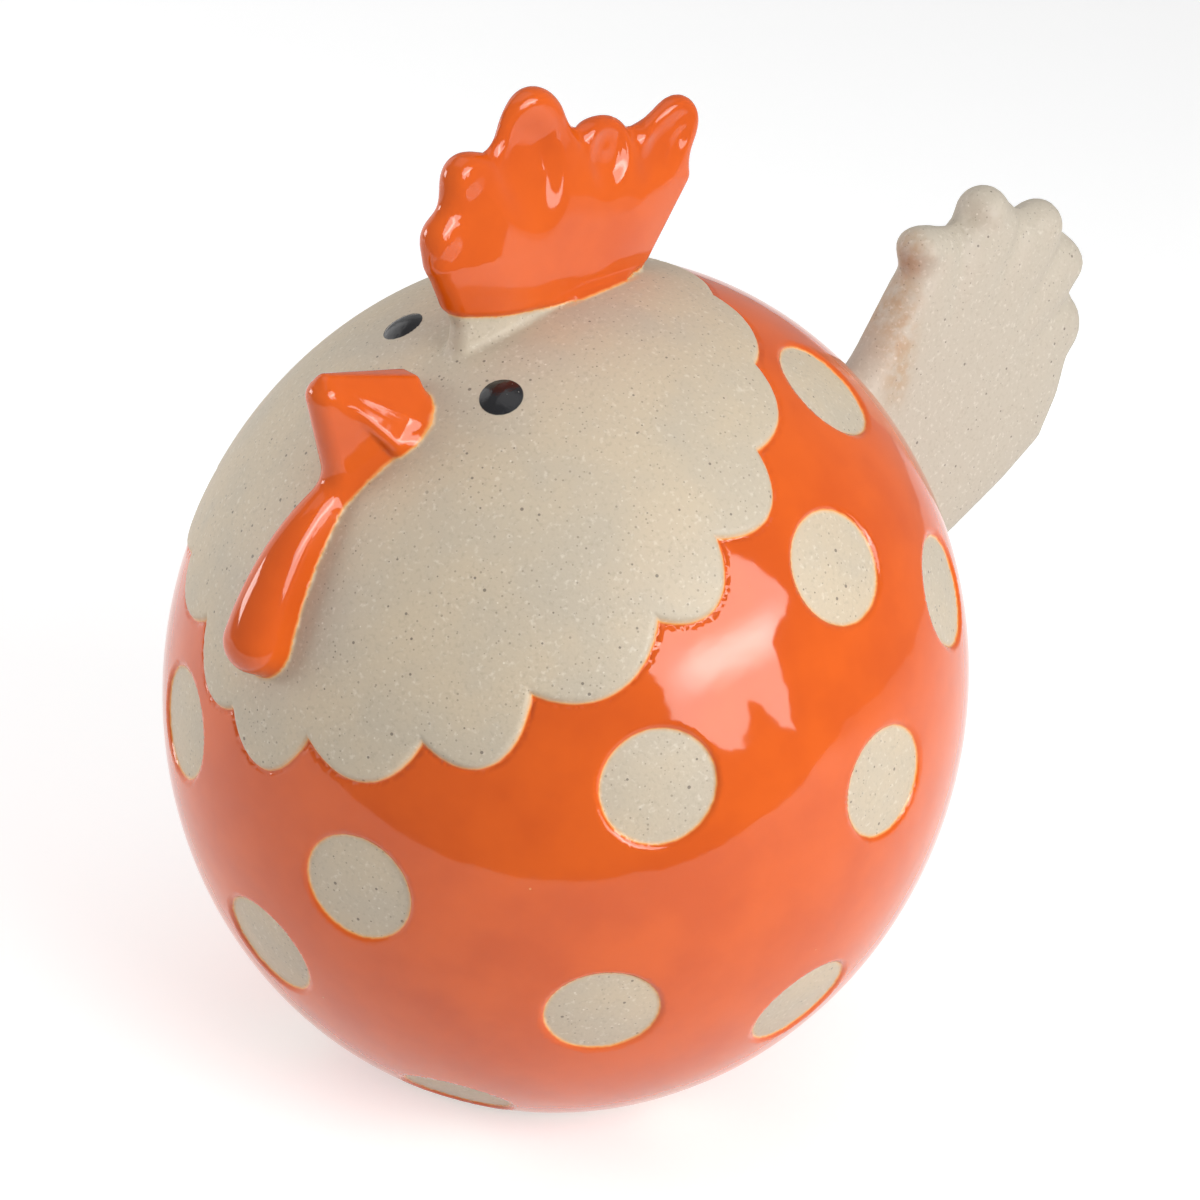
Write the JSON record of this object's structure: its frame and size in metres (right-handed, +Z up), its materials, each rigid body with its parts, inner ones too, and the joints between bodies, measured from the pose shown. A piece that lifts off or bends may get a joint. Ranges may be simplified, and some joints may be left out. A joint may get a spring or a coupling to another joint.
{
  "type": "hen figurine",
  "caption": "Round hollow ceramic hen to stand on a shelf or table: speckled stoneware, orange glaze with bare dots, scalloped hood, comb, beak, wattle and fan tail",
  "frame": {"origin": "in the table plane, under the middle of the figurine's length and width", "axes": "+Z up, -Y towards the beak, +X towards the hen's left side"},
  "size_m": [0.0808, 0.1164, 0.1059],
  "materials": {
    "glazed_stoneware": "speckled bare clay, glossy orange glaze with bare dots, black glazed eyes"
  },
  "bodies": {
    "root": {"hen_figurine": "glazed_stoneware"}
  },
  "joints": []
}
